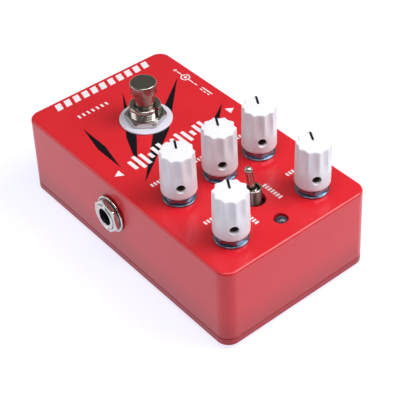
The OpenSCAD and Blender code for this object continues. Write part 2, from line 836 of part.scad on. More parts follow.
module power_jack_nut() {
    nut_t = 2;
    color([0.76, 0.76, 0.75]) at_power() translate([0, 0, face_x - wall - nut_t - 0.3])
        hex_nut(2*power_flange_r, power_r + loose, nut_t);
}

enclosure_shell();
base_plate();
base_screws();
rubber_feet();
control_board();
board_chips();
board_capacitors();
gain_pot();
volume_pot();
treble_pot();
middle_pot();
bass_pot();
pot_washers();
pot_nuts();
footswitch_housing();
footswitch_bushing();
footswitch_terminals();
footswitch_lock_nut();
footswitch_washer();
footswitch_nut();
footswitch_spring();
switch_board();
ribbon_cable();
jack_wires();
toggle_housing();
toggle_bushing();
status_led();
input_jack_body();
input_jack_sleeve();
input_jack_contacts();
output_jack_body();
output_jack_sleeve();
output_jack_contacts();
jack_washers();
jack_nuts();
power_jack_body();
power_jack_pin();
power_jack_nut();
gain_shaft();
gain_insert();
gain_set_screw();
gain_knob();
volume_shaft();
volume_insert();
volume_set_screw();
volume_knob();
treble_shaft();
treble_insert();
treble_set_screw();
treble_knob();
middle_shaft();
middle_insert();
middle_set_screw();
middle_knob();
bass_shaft();
bass_insert();
bass_set_screw();
bass_knob();
footswitch_button();
toggle_lever();
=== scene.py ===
"""The looks of a guitar effects pedal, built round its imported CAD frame.

Lengths in this file are millimetres, because the pedal's details are small, and MM turns
them into Blender's metres. The main sizes and places come from the frame's node boxes.
"""
import json
import math

import bpy
from mathutils import Matrix, Vector


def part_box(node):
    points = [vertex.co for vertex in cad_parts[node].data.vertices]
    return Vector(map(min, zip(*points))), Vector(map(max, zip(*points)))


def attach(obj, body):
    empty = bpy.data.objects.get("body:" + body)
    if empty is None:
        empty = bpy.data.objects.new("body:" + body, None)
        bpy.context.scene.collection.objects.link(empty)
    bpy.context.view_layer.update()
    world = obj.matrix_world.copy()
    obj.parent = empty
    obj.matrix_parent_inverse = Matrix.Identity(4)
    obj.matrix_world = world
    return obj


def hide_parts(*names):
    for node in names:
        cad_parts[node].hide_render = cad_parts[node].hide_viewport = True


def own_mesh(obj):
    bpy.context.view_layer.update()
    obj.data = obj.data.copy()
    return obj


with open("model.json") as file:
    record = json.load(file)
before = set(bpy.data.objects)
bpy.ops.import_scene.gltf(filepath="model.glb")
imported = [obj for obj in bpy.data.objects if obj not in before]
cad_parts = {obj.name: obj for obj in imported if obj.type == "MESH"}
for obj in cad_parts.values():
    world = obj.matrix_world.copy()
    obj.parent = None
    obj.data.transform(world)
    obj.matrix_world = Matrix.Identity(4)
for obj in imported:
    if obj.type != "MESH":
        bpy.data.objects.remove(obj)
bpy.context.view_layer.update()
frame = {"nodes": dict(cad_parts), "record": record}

MM = 0.001
NODES = frame["nodes"]


# ---- Places and sizes read from the frame, in millimetres ----

def low(node):
    """The lowest corner of a CAD node."""
    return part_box(node)[0] / MM


def high(node):
    """The highest corner of a CAD node."""
    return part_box(node)[1] / MM


def middle(node):
    """The centre of a CAD node's box."""
    return (low(node) + high(node)) / 2


CONTROLS = ("gain", "volume", "treble", "middle", "bass")
PANEL_Z = high("enclosure_shell").z
GROUND_Z = low("rubber_feet").z
PLATE_LOW = low("base_plate").z
SEAM_Z = low("enclosure_shell").z
BODY_HALF_W = high("base_plate").x
BODY_HALF_L = high("base_plate").y
# How far each side leans out over the pedal's height, and the sizes that follow from it
DRAFT = 0.6
TOP_HALF_W = BODY_HALF_W - DRAFT
TOP_HALF_L = BODY_HALF_L - DRAFT
WALL = 2.0
CORNER_R = 5.0
EDGE_R = 1.0
# The posts that take the base screws: their radius, and how far in from the sides they stand
POST_R = 4.2
POST_IN = 5.2
POST_AT = (TOP_HALF_W - POST_IN, TOP_HALF_L - POST_IN)
SCREW_R = 1.6
# How far a cutter runs past the face that it opens
PAST = 1
CONTROL_AT = {name: middle(name + "_insert") for name in CONTROLS}
SWITCH_AT = middle("footswitch_washer")
TOGGLE_AT = middle("toggle_bushing")
LED_AT = middle("status_led")
JACK_AT = middle("input_jack_sleeve")
POWER_AT = middle("power_jack_body")


# ---- Mesh building ----

def add_mesh(name, points, faces, material, smooth_below=35):
    """A new mesh object from points in millimetres, smooth across edges flatter than the angle."""
    mesh = bpy.data.meshes.new(name)
    mesh.from_pydata([Vector(p) * MM for p in points], [], faces)
    mesh.validate()
    obj = bpy.data.objects.new(name, mesh)
    bpy.context.scene.collection.objects.link(obj)
    mesh.materials.append(material)
    smooth(obj, smooth_below)
    return obj


def smooth(obj, below):
    """Shades smooth, with sharp edges where faces meet at more than the given angle."""
    for polygon in obj.data.polygons:
        polygon.use_smooth = True
    obj.data.set_sharp_from_angle(angle=math.radians(below))


def strip_faces(ring_count, ring_size):
    """Quads between rings that follow each other, each ring closed on itself."""
    faces = []
    for k in range(ring_count - 1):
        for i in range(ring_size):
            j = (i + 1) % ring_size
            a = k * ring_size
            b = a + ring_size
            faces.append((a + i, a + j, b + j, b + i))
    return faces


def loop_faces(ring_count, ring_size):
    """The same quads, and then those that lead from the last ring back to the first."""
    last = (ring_count - 1) * ring_size
    closing = [(last + i, last + (i + 1) % ring_size, (i + 1) % ring_size, i)
               for i in range(ring_size)]
    return strip_faces(ring_count, ring_size) + closing


def stack(rings):
    """Points and faces of a solid through a stack of rings, with flat faces on its two ends."""
    size = len(rings[0])
    points = [p for ring in rings for p in ring]
    faces = strip_faces(len(rings), size)
    last = (len(rings) - 1) * size
    faces.append(tuple(range(size - 1, -1, -1)))
    faces.append(tuple(range(last, last + size)))
    return points, faces


def turned(profile, segments=96, centre=(0, 0)):
    """Points and faces of a turned solid. The profile runs from the axis, round the outside
    anticlockwise, and back to the axis or to its own start."""
    on_axis = 1e-9
    rows = [p for p in profile if p[0] > on_axis]
    points = []
    for r, z in rows:
        for i in range(segments):
            a = 2 * math.pi * i / segments
            points.append((centre[0] + r * math.cos(a), centre[1] + r * math.sin(a), z))
    if profile[0][0] > on_axis:
        return points, loop_faces(len(rows), segments)
    faces = strip_faces(len(rows), segments)
    points.append((centre[0], centre[1], profile[0][1]))
    points.append((centre[0], centre[1], profile[-1][1]))
    base, top = len(points) - 2, len(points) - 1
    last = (len(rows) - 1) * segments
    for i in range(segments):
        j = (i + 1) % segments
        faces.append((base, j, i))
        faces.append((top, last + i, last + j))
    return points, faces


def joined(parts):
    """Several (points, faces) solids as one."""
    points, faces = [], []
    for part_points, part_faces in parts:
        shift = len(points)
        points += part_points
        faces += [tuple(i + shift for i in face) for face in part_faces]
    return points, faces


def placed(part, matrix):
    """A (points, faces) solid moved by a matrix."""
    points, faces = part
    return [tuple(matrix @ Vector(p)) for p in points], faces


def shifted(part, x, y):
    """A (points, faces) solid moved along the panel."""
    return placed(part, Matrix.Translation((x, y, 0)))


def box_part(a, b):
    """A box between two corners."""
    (x0, y0, z0), (x1, y1, z1) = a, b
    rings = [[(x0, y0, z), (x1, y0, z), (x1, y1, z), (x0, y1, z)] for z in (z0, z1)]
    return stack(rings)


def arc(cx, cy, r, start, end, steps):
    """Points along an arc, from one angle to another, in degrees."""
    angles = [math.radians(start + (end - start) * k / steps) for k in range(steps + 1)]
    return [(cx + r * math.cos(a), cy + r * math.sin(a)) for a in angles]


def rounded_ring(half_w, half_l, r, z):
    """One level of a rounded box."""
    steps = 12
    ring = []
    for corner, (sx, sy) in enumerate(((1, 1), (-1, 1), (-1, -1), (1, -1))):
        centre = (sx * (half_w - r), sy * (half_l - r))
        ring += [(x, y, z) for x, y in arc(*centre, r, 90 * corner, 90 * corner + 90, steps)]
    return ring


def cut(obj, parts):
    """Takes several (points, faces) solids away from an object."""
    combine(obj, parts, "DIFFERENCE")


def combine(obj, parts, operation):
    """Adds or takes away several (points, faces) solids, and bakes the result."""
    cutter = add_mesh(obj.name + "_tool", *joined(parts), obj.data.materials[0])
    modifier = obj.modifiers.new("combine", "BOOLEAN")
    modifier.object = cutter
    modifier.operation = operation
    modifier.solver = "EXACT"
    bake_modifiers(obj)
    bpy.data.objects.remove(cutter)


def bake_modifiers(obj):
    """Applies an object's modifiers to its mesh."""
    bpy.context.view_layer.update()
    graph = bpy.context.evaluated_depsgraph_get()
    mesh = bpy.data.meshes.new_from_object(obj.evaluated_get(graph))
    obj.modifiers.clear()
    obj.data = mesh


def weigh_normals(obj):
    """Lets large flat faces keep their own normals beside small rounded edges."""
    modifier = obj.modifiers.new("weighted_normals", "WEIGHTED_NORMAL")
    modifier.keep_sharp = True
    modifier.weight = 100


def add_piece(name, part, material, body, nodes, smooth_below=35):
    """A finished piece: built, riding on its body and standing for its CAD nodes."""
    obj = add_mesh(name, *part, material, smooth_below)
    return settle(obj, body, nodes)


def settle(obj, body, nodes):
    """Fixes a piece to its body and hides the CAD nodes that it stands for."""
    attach(obj, body)
    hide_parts(*nodes)
    return obj


# ---- Materials ----

def shader(name, **sockets):
    """A material and its Principled shader, with constant values set on the shader's sockets."""
    material = bpy.data.materials.new(name)
    material.use_nodes = True
    principled = material.node_tree.nodes["Principled BSDF"]
    for key, value in sockets.items():
        principled.inputs[key.replace("_", " ")].default_value = value
    return material, principled


def noise(tree, scale, detail, roughness=0.5, stretch=None):
    """A noise texture in object space, at a scale per metre, stretched if asked."""
    coordinates = tree.nodes.new("ShaderNodeTexCoord")
    texture = tree.nodes.new("ShaderNodeTexNoise")
    texture.inputs["Scale"].default_value = scale
    texture.inputs["Detail"].default_value = detail
    texture.inputs["Roughness"].default_value = roughness
    source = coordinates.outputs["Object"]
    if stretch:
        mapping = tree.nodes.new("ShaderNodeMapping")
        mapping.inputs["Scale"].default_value = stretch
        tree.links.new(source, mapping.inputs["Vector"])
        source = mapping.outputs["Vector"]
    tree.links.new(source, texture.inputs["Vector"])
    return texture.outputs["Fac"]


def spread(tree, value, source, target, interpolation="SMOOTHSTEP"):
    """Maps a value from one range onto another, and holds it at the two ends."""
    node = tree.nodes.new("ShaderNodeMapRange")
    node.interpolation_type = interpolation
    ends = ("From Min", "From Max", "To Min", "To Max")
    for end, number in zip(ends, (*source, *target)):
        node.inputs[end].default_value = number
    tree.links.new(value, node.inputs["Value"])
    return node.outputs["Result"]


def tint(tree, value, first, second):
    """Blends two colours by a 0 to 1 value."""
    node = tree.nodes.new("ShaderNodeMix")
    node.data_type = "RGBA"
    node.inputs["A"].default_value = (*first, 1)
    node.inputs["B"].default_value = (*second, 1)
    tree.links.new(value, node.inputs["Factor"])
    return node.outputs["Result"]


def bump(tree, height, depth):
    """A bump normal from a height value, depth in millimetres."""
    node = tree.nodes.new("ShaderNodeBump")
    node.inputs["Strength"].default_value = 1.0
    node.inputs["Distance"].default_value = depth * MM
    tree.links.new(height, node.inputs["Height"])
    return node.outputs["Normal"]


def paint_contact_shade(material, rise, share):
    """Paints shade into a finish's colour towards the floor, standing in for the contact shadow
    there: darker by the share at the bottom, and not at all above the rise, in millimetres."""
    tree = material.node_tree
    base_colour = tree.nodes["Principled BSDF"].inputs["Base Color"]
    finish = base_colour.links[0].from_socket
    coordinates = tree.nodes.new("ShaderNodeTexCoord")
    split = tree.nodes.new("ShaderNodeSeparateXYZ")
    tree.links.new(coordinates.outputs["Object"], split.inputs["Vector"])
    # How much painted shade darkens the colour at this height
    depth = spread(tree, split.outputs["Z"], (PLATE_LOW * MM, rise * MM), (share, 0))
    mix = tint(tree, depth, (0, 0, 0), (0, 0, 0))
    tree.links.new(finish, mix.node.inputs["A"])
    tree.links.new(mix, base_colour)
    return material


def surface(name, colour, second=None, roughness=(0.3, 0.4), grain=400, grain_depth=0.01,
            octaves=6, blotch=60, stretch=None, **sockets):
    """A material whose colour varies slowly and whose gloss varies with a finer grain. The
    grain also shows as a bump, grain_depth millimetres deep, unless that is 0."""
    material, principled = shader(name, **sockets)
    tree = material.node_tree
    second = second or tuple(0.93 * c for c in colour)
    slow = noise(tree, blotch, detail=3)
    fine = noise(tree, grain, detail=octaves, roughness=0.6, stretch=stretch)
    tree.links.new(tint(tree, slow, colour, second), principled.inputs["Base Color"])
    gloss = spread(tree, fine, (0, 1), roughness, "LINEAR")
    tree.links.new(gloss, principled.inputs["Roughness"])
    if grain_depth:
        tree.links.new(bump(tree, fine, grain_depth), principled.inputs["Normal"])
    return material


# Painted shade near the base, standing in for the contact shadow: up to what height, and by what
# share at the bottom it darkens the paint
PAINTED_CONTACT_SHADE = (20, 0.33)


def make_materials():
    """One material for each of the record's slots, two inks for the print, a finish of its own for
    the zinc parts under the knobs, and a darker copy of the satin nickel for the footswitch
    button, as painted shade."""
    metal = {"Metallic": 1.0}
    polish = {"grain": 150, "grain_depth": 0, "octaves": 1}
    return {
        # Both red paints carry painted shade, darker towards the floor
        "enclosure_paint": paint_contact_shade(surface(
            "red_powder_coat", (0.66, 0.015, 0.026), (0.62, 0.011, 0.02),
            roughness=(0.28, 0.36), grain=900, grain_depth=0.012,
            Specular_IOR_Level=0.4, Coat_Weight=0.25, Coat_Roughness=0.1), *PAINTED_CONTACT_SHADE),
        "base_paint": paint_contact_shade(surface(
            "red_base_coat", (0.56, 0.015, 0.027), roughness=(0.34, 0.44), grain=900,
            grain_depth=0.015, Specular_IOR_Level=0.35, Coat_Weight=0.1, Coat_Roughness=0.15),
            *PAINTED_CONTACT_SHADE),
        "screw_steel": surface(
            "zinc_screws", (0.6, 0.61, 0.63), (0.5, 0.5, 0.48), roughness=(0.22, 0.4),
            grain=2500, grain_depth=0.004, **metal),
        "foot_rubber": surface(
            "black_rubber", (0.018, 0.018, 0.018), (0.03, 0.03, 0.029),
            roughness=(0.6, 0.8), grain=3500, grain_depth=0.02),
        "board_green": surface(
            "solder_mask", (0.02, 0.16, 0.06), (0.015, 0.11, 0.045), roughness=(0.25, 0.4),
            grain=1500),
        "chip_black": surface(
            "chip_epoxy", (0.02, 0.02, 0.022), roughness=(0.5, 0.65), grain=5000),
        "capacitor_sleeve": surface(
            "capacitor_sleeve", (0.03, 0.04, 0.16), roughness=(0.2, 0.3)),
        "pot_metal": surface(
            "plated_housing", (0.5, 0.5, 0.51), (0.42, 0.42, 0.43), roughness=(0.3, 0.42),
            grain=1200, **metal),
        "panel_hardware": surface(
            "bright_nickel", (0.62, 0.6, 0.57), (0.54, 0.52, 0.5), roughness=(0.13, 0.22),
            blotch=100, **polish, **metal),
        "switch_blue": surface(
            "switch_blue", (0.02, 0.06, 0.32), roughness=(0.4, 0.5)),
        "switch_metal": surface(
            "satin_nickel", (0.47, 0.43, 0.39), (0.4, 0.37, 0.33), roughness=(0.2, 0.28),
            blotch=100, **polish, **metal),
        # A darker copy of the satin nickel: painted shade that makes the button look darker than
        # the bushing
        "shaded_button_nickel": surface(
            "shaded_button_nickel", (0.37, 0.33, 0.3), (0.32, 0.29, 0.26), roughness=(0.22, 0.28),
            blotch=100, **polish, **metal),
        "control_zinc": surface(
            "blue_zinc", (0.27, 0.34, 0.43), (0.22, 0.28, 0.36), roughness=(0.16, 0.26),
            blotch=100, **polish, Metallic=0.9),
        "tinned_metal": surface(
            "tinned_metal", (0.68, 0.67, 0.64), (0.55, 0.54, 0.52), roughness=(0.25, 0.4),
            **metal),
        "nylon": surface(
            "natural_nylon", (0.68, 0.67, 0.76), (0.63, 0.61, 0.7), roughness=(0.4, 0.5),
            grain=1500, grain_depth=0.006, Subsurface_Weight=0.35,
            Subsurface_Radius=(0.002, 0.0016, 0.0018), Subsurface_Scale=1.0),
        "spring_steel": surface(
            "spring_wire", (0.45, 0.45, 0.47), roughness=(0.2, 0.3), **metal),
        "ribbon_grey": surface(
            "ribbon_vinyl", (0.35, 0.35, 0.37), roughness=(0.45, 0.6)),
        "wire_black": surface(
            "wire_vinyl", (0.02, 0.02, 0.022), roughness=(0.35, 0.5)),
        "jack_black": surface(
            "moulded_black", (0.015, 0.015, 0.017), (0.022, 0.022, 0.024),
            roughness=(0.32, 0.48), grain=3000, grain_depth=0.008),
        "jack_metal": surface(
            "turned_nickel", (0.6, 0.58, 0.55), roughness=(0.14, 0.24), **polish, **metal),
        "contact_brass": surface(
            "contact_brass", (0.72, 0.55, 0.26), roughness=(0.2, 0.35), **metal),
        "led_lens": surface(
            "led_epoxy", (0.24, 0.26, 0.36), (0.2, 0.22, 0.31), roughness=(0.02, 0.06),
            grain=300, grain_depth=0.002, Transmission_Weight=0.85, IOR=1.5),
        "shaft_metal": surface(
            "shaft_metal", (0.72, 0.73, 0.74), roughness=(0.25, 0.35),
            stretch=(1, 1, 0.05), **metal),
        "insert_brass": surface(
            "insert_brass", (0.78, 0.5, 0.18), (0.66, 0.4, 0.13), roughness=(0.18, 0.35),
            grain=2500, **metal),
        "set_screw_steel": surface(
            "black_oxide", (0.04, 0.04, 0.045), roughness=(0.35, 0.5), **metal),
        "knob_white": surface(
            "knob_plastic", (0.79, 0.78, 0.82), (0.77, 0.76, 0.81), roughness=(0.3, 0.42),
            grain=1800, grain_depth=0.008, Subsurface_Weight=0.12,
            Subsurface_Radius=(0.0012, 0.001, 0.0012), Subsurface_Scale=1.0,
            Coat_Weight=0.15, Coat_Roughness=0.2),
        "white_ink": surface(
            "white_ink", (0.86, 0.82, 0.84), (0.8, 0.72, 0.75), roughness=(0.4, 0.5),
            grain=2500, grain_depth=0.01),
        "black_ink": surface(
            "black_ink", (0.003, 0.002, 0.005), (0.006, 0.005, 0.008), roughness=(0.45, 0.55),
            grain=2500, grain_depth=0.01, Specular_IOR_Level=0.15),
    }


def dress_cad_nodes(materials):
    """Gives every carried-over CAD node its slot's material."""
    for row in frame["record"]["subparts"]:
        obj = NODES[row["node"]]
        obj.data.materials.clear()
        obj.data.materials.append(materials[row["material_slot"]])


# ---- Enclosure and base ----

def lean(z):
    """How far a side stands out at a height, beyond the edge of the top face."""
    return DRAFT * (PANEL_Z - z) / (PANEL_Z - PLATE_LOW)


def level(z, inset):
    """A ring round the enclosure, set in from its drafted side."""
    return rounded_ring(TOP_HALF_W + lean(z) - inset, TOP_HALF_L + lean(z) - inset,
                        CORNER_R - inset, z)


def side_rings(z0, z1, low_edge, high_edge):
    """Rings up the outside between two heights, with both edges rounded."""
    rings = [level(z0 + low_edge * (1 - math.sin(a)), low_edge * (1 - math.cos(a)))
             for a in (math.radians(90 - 22.5 * k) for k in range(5))]
    rings += [level(z1 - high_edge * (1 - math.sin(a)), high_edge * (1 - math.cos(a)))
              for a in (math.radians(11.25 * k) for k in range(9))]
    return rings


def hole(x, y, r, flare=0.0):
    """A cutter for a hole in the top panel, with a rounded lip if flare is given."""
    start = PANEL_Z - WALL - PAST
    end = PANEL_Z + PAST
    profile = [(0, start), (r, start)]
    if flare:
        profile += [(r + flare - flare * math.cos(a), PANEL_Z - flare + flare * math.sin(a))
                    for a in (k * math.pi / 12 for k in range(7))]
    profile += [(r + flare, end), (0, end)]
    return turned(profile, 64, (x, y))


def side_hole(side, y, z, r):
    """A cutter for a hole through a side wall; side is 1 for +X and -1 for -X."""
    start = BODY_HALF_W - 2 * WALL
    end = BODY_HALF_W + 2 * PAST
    profile = [(0, start), (r, start), (r, end), (0, end)]
    return placed(turned(profile, 64), out_of_side(side, y, z))


def out_of_side(side, y, z):
    """Turns +Z into the direction out of a side, about a point at that side's height."""
    return Matrix.Translation((0, y, z)) @ Matrix.Rotation(side * math.pi / 2, 4, "Y")


def corners(at):
    """The four mirrored places of a corner part."""
    return [(sx * at[0], sy * at[1]) for sx in (1, -1) for sy in (1, -1)]


def build_enclosure(materials):
    """The die-cast shell: drafted sides, rounded edges, a hollow inside, and its holes."""
    lip = 0.3
    ceiling = PANEL_Z - WALL
    rings = [level(ceiling, WALL), level(SEAM_Z, WALL)]
    rings += side_rings(SEAM_Z, PANEL_Z, lip, EDGE_R)
    shell = add_mesh("enclosure_body", *stack(rings), materials["enclosure_paint"])
    post_top = ceiling + WALL / 2
    posts = [turned([(0, SEAM_Z), (POST_R, SEAM_Z), (POST_R, post_top), (0, post_top)], 48, at)
             for at in corners(POST_AT)]
    combine(shell, posts, "UNION")
    pot_r, switch_r, toggle_r, led_r, jack_r, power_r = 3.75, 6.15, 4.0, 2.6, 4.9, 6.05
    # The toggle's hole is oversize, and its switch stands a little off the middle of it
    toggle_y = TOGGLE_AT.y + 0.3
    thread_low, thread_high = SEAM_Z - PAST, SEAM_Z + 10
    thread = [(0, thread_low), (SCREW_R, thread_low), (SCREW_R, thread_high), (0, thread_high)]
    cutters = [turned(thread, 32, at) for at in corners(POST_AT)]
    cutters += [hole(at.x, at.y, pot_r) for at in CONTROL_AT.values()]
    cutters += [hole(SWITCH_AT.x, SWITCH_AT.y, switch_r)]
    cutters += [hole(0, toggle_y, toggle_r, flare=0.25)]
    cutters += [hole(LED_AT.x, LED_AT.y, led_r)]
    cutters += [side_hole(side, JACK_AT.y, JACK_AT.z, jack_r) for side in (1, -1)]
    cutters += [side_hole(-1, POWER_AT.y, POWER_AT.z, power_r)]
    cut(shell, cutters)
    smooth(shell, 40)
    weigh_normals(shell)
    return settle(shell, "root", ["enclosure_shell"])


def build_base_plate(materials):
    """The screwed base: a plate with soft edges and countersunk holes."""
    low_edge, high_edge = 0.35, 0.4
    rings = side_rings(PLATE_LOW, SEAM_Z, low_edge, high_edge)
    plate = add_mesh("base_cover", *stack(rings), materials["base_paint"])
    head_r, head_h = 2.95, 1.6
    start, end = PLATE_LOW - PAST, SEAM_Z + 2 * PAST
    countersunk = [(0, start), (head_r, start), (head_r, PLATE_LOW),
                   (SCREW_R, PLATE_LOW + head_h), (SCREW_R, end), (0, end)]
    cut(plate, [turned(countersunk, 48, at) for at in corners(POST_AT)])
    smooth(plate, 40)
    weigh_normals(plate)
    return settle(plate, "root", ["base_plate"])


def build_feet(materials):
    """Four stick-on rubber feet with rounded edges and a shallow dish underneath."""
    box_high = high("rubber_feet")
    r, edge = 5.0, 0.6
    at = (box_high.x - r, box_high.y - r)
    top = box_high.z
    profile = [(0, GROUND_Z + 0.3), (r - 2.2, GROUND_Z + 0.25), (r - 1.6, GROUND_Z)]
    profile += arc(r - edge, GROUND_Z + edge, edge, -90, 0, 5)
    profile += [(r - 0.15, top), (0, top)]
    feet = joined([turned(profile, 64, place) for place in corners(at)])
    return add_piece("feet", feet, materials["foot_rubber"], "root",
                     ["rubber_feet"])


# ---- Threads, nuts and washers ----

def hex_nut(flats, bore_r, z0, z1, turn):
    """A hexagonal nut with turned corners on both faces, as rings that follow the hexagon."""
    apothem = flats / 2
    corner = apothem / math.cos(math.pi / 6) - 0.12
    slope = math.tan(math.radians(30))
    face_r = apothem - 0.15
    bevel = 0.3
    segments = 144
    rings = [[] for _ in range(10)]
    for i in range(segments):
        a = 2 * math.pi * i / segments
        phi = (a + math.pi / 6) % (math.pi / 3) - math.pi / 6
        r = min(apothem / math.cos(phi), corner)
        drop = max(0.0, (r - face_r) * slope)
        levels = [
            (bore_r, z0 + bevel), (bore_r + bevel, z0), (face_r - 0.1, z0),
            (r - 0.06, z0 + drop * 0.9), (r, z0 + drop + 0.08),
            (r, z1 - drop - 0.08), (r - 0.06, z1 - drop * 0.9),
            (face_r - 0.1, z1), (bore_r + bevel, z1), (bore_r, z1 - bevel)]
        for ring, (radius, z) in zip(rings, levels):
            ring.append((radius * math.cos(a + turn), radius * math.sin(a + turn), z))
    points = [p for ring in rings for p in ring]
    return points, loop_faces(len(rings), segments)


def flat_washer(r_out, r_in, z0, z1, edge):
    """A flat washer with rounded edges."""
    profile = [(r_in, z0 + edge), (r_in + edge, z0)]
    profile += arc(r_out - edge, z0 + edge, edge, -90, 0, 3)
    profile += arc(r_out - edge, z1 - edge, edge, 0, 90, 3)
    profile += [(r_in + edge, z1), (r_in, z1 - edge)]
    return turned(profile, 96)


def threaded(r, z0, z1, pitch, depth, inner, segments=120, per_pitch=8):
    """A threaded tube. The thread is cut into the outside and fades out at both ends; inner
    is the profile of the inside, from the top down to the bottom."""
    rows = []
    count = int((z1 - z0) / pitch * per_pitch)
    fade = 0.6 * pitch
    sharpness = 0.8
    for k in range(count + 1):
        z = z0 + (z1 - z0) * k / count
        keep = max(0.0, min(1.0, (z1 - z) / fade, (z - z0) / fade))
        row = []
        for i in range(segments):
            a = 2 * math.pi * i / segments
            phase = (z / pitch - i / segments) % 1.0
            cut_in = depth * keep * (1 - abs(2 * phase - 1)) ** sharpness
            row.append(((r - cut_in) * math.cos(a), (r - cut_in) * math.sin(a), z))
        rows.append(row)
    for radius, z in inner:
        rows.append([(radius * math.cos(2 * math.pi * i / segments),
                      radius * math.sin(2 * math.pi * i / segments), z)
                     for i in range(segments)])
    points = [p for row in rows for p in row]
    return points, loop_faces(len(rows), segments)


# ---- Controls ----

KNOB_R = 6.35
KNOB_LOW = low("gain_knob").z
KNOB_H = high("gain_knob").z - KNOB_LOW
SET_SCREW_UP = middle("gain_set_screw").z - KNOB_LOW
FLUTES = 10
# Where the first flute stands from the set screw, and the screw from +X, in degrees
FLUTE_TURN = -11.0
SCREW_AZIMUTH = 59.0
# How far the hexagon of each control's nut is turned, in degrees
NUT_TURNS = {"gain": 34, "volume": 25, "treble": 48, "middle": 36, "bass": 24}


def flute_depth(a, height):
    """How deep the finger flutes are at an angle and a height on the knob's side. They start
    and reach their full depth at shares of its height, and take up a share of its round."""
    start, full, depth, taken = 0.3, 0.72, 0.66, 0.86
    rise = max(0.0, min(1.0, (height / KNOB_H - start) / (full - start)))
    rise = rise * rise * (3 - 2 * rise)
    pitch = 2 * math.pi / FLUTES
    off = (a - math.radians(FLUTE_TURN) + pitch / 2) % pitch - pitch / 2
    share = abs(off) / (pitch / 2) / taken
    return depth * rise * max(0.0, 1 - share * share)


def knob_part():
    """A fluted knob, laid out for its set-screw hole to face +X, its lower edge at the origin."""
    bore_r, bore_h = 4.95, 12.1
    skirt, rim = 1.1, 0.45
    top_r = KNOB_R - 0.25
    profile = [(0.0, bore_h), (bore_r, bore_h), (bore_r, 0.0)]
    profile += arc(KNOB_R - skirt, skirt, skirt, -90, 0, 8)
    side_steps = 34
    side_top = KNOB_H - rim
    for k in range(1, side_steps):
        t = k / side_steps
        profile.append((KNOB_R + (top_r - KNOB_R) * t, skirt + (side_top - skirt) * t))
    profile += arc(top_r - rim, KNOB_H - rim, rim, 0, 90, 5)
    profile += [(top_r - 1.2, KNOB_H + 0.02), (2.0, KNOB_H + 0.05), (0.0, KNOB_H + 0.06)]
    points, faces = turned(profile, FLUTES * 22)
    # On the top, the flutes fade out towards the middle
    fade_r, fade_w = 3.0, 1.9
    reshaped = []
    for x, y, z in points:
        r = math.hypot(x, y)
        if r > bore_r + 0.2 and z > skirt:
            near_rim = max(0.0, min(1.0, (r - fade_r) / fade_w))
            r_new = r - flute_depth(math.atan2(y, x), z) * near_rim
            x, y = x * r_new / r, y * r_new / r
        reshaped.append((x, y, z))
    return reshaped, faces


def screw_hole_cutter():
    """A cutter for the set-screw hole, flared a little at its mouth."""
    r, mouth, start = 1.6, 0.35, 3.0
    profile = [(0, start), (r, start), (r, KNOB_R - mouth), (r + mouth, KNOB_R + 0.05),
               (r + mouth, KNOB_R + PAST), (0, KNOB_R + PAST)]
    turn = Matrix.Translation((0, 0, SET_SCREW_UP)) @ Matrix.Rotation(math.pi / 2, 4, "Y")
    return placed(turned(profile, 40), turn)


def pointer_part():
    """The black line on a knob's top, from near its middle to its rim, facing -X."""
    half_w, inner, outer = 0.42, 0.9, KNOB_R - 0.8
    z0, z1 = KNOB_H - 0.2, KNOB_H + 0.085
    outline = [(-outer, half_w), (-outer, -half_w)]
    outline += [(-inner - half_w + x, y) for x, y in arc(0, 0, half_w, -90, 90, 8)]
    rings = [[(x, y, z) for x, y in outline] for z in (z0, z1)]
    return stack(rings)


def build_controls(materials):
    """The five knobs with their pointers, and the washers and nuts under them."""
    master = add_mesh("knob_master", *knob_part(), materials["knob_white"])
    cut(master, [screw_hole_cutter()])
    smooth(master, 24)
    pointer = add_mesh("pointer_master", *pointer_part(), materials["black_ink"])
    for name in CONTROLS:
        at = CONTROL_AT[name]
        turn = Matrix.Translation(Vector((at.x, at.y, KNOB_LOW)) * MM) @ Matrix.Rotation(
            math.radians(SCREW_AZIMUTH), 4, "Z")
        knob = bpy.data.objects.new(name + "_knob_cap", master.data)
        line = bpy.data.objects.new(name + "_pointer", pointer.data)
        for obj in (knob, line):
            bpy.context.scene.collection.objects.link(obj)
            obj.matrix_world = turn
        settle(knob, name + "_control", [name + "_knob"])
        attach(line, name + "_control")
    bpy.data.objects.remove(master)
    bpy.data.objects.remove(pointer)
    build_control_hardware(materials)


def build_control_hardware(materials):
    """The washer and nut under each knob."""
    washer_top = high("pot_washers").z
    nut_top = high("pot_nuts").z
    washer_r, bore_r, flats = 6.0, 3.65, 10.0
    washers, nuts = [], []
    for name in CONTROLS:
        at = CONTROL_AT[name]
        washer = flat_washer(washer_r, bore_r, PANEL_Z, washer_top, 0.2)
        washers.append(shifted(washer, at.x, at.y))
        nut = hex_nut(flats, bore_r, washer_top, nut_top, math.radians(NUT_TURNS[name]))
        nuts.append(shifted(nut, at.x, at.y))
    add_piece("control_washers", joined(washers), materials["control_zinc"], "root",
              ["pot_washers"])
    add_piece("control_nuts", joined(nuts), materials["control_zinc"], "root",
              ["pot_nuts"], 25)


# ---- Footswitch ----

# How far the bushing's keyway is turned from +Y, in degrees
KEYWAY_TURN = 10.0


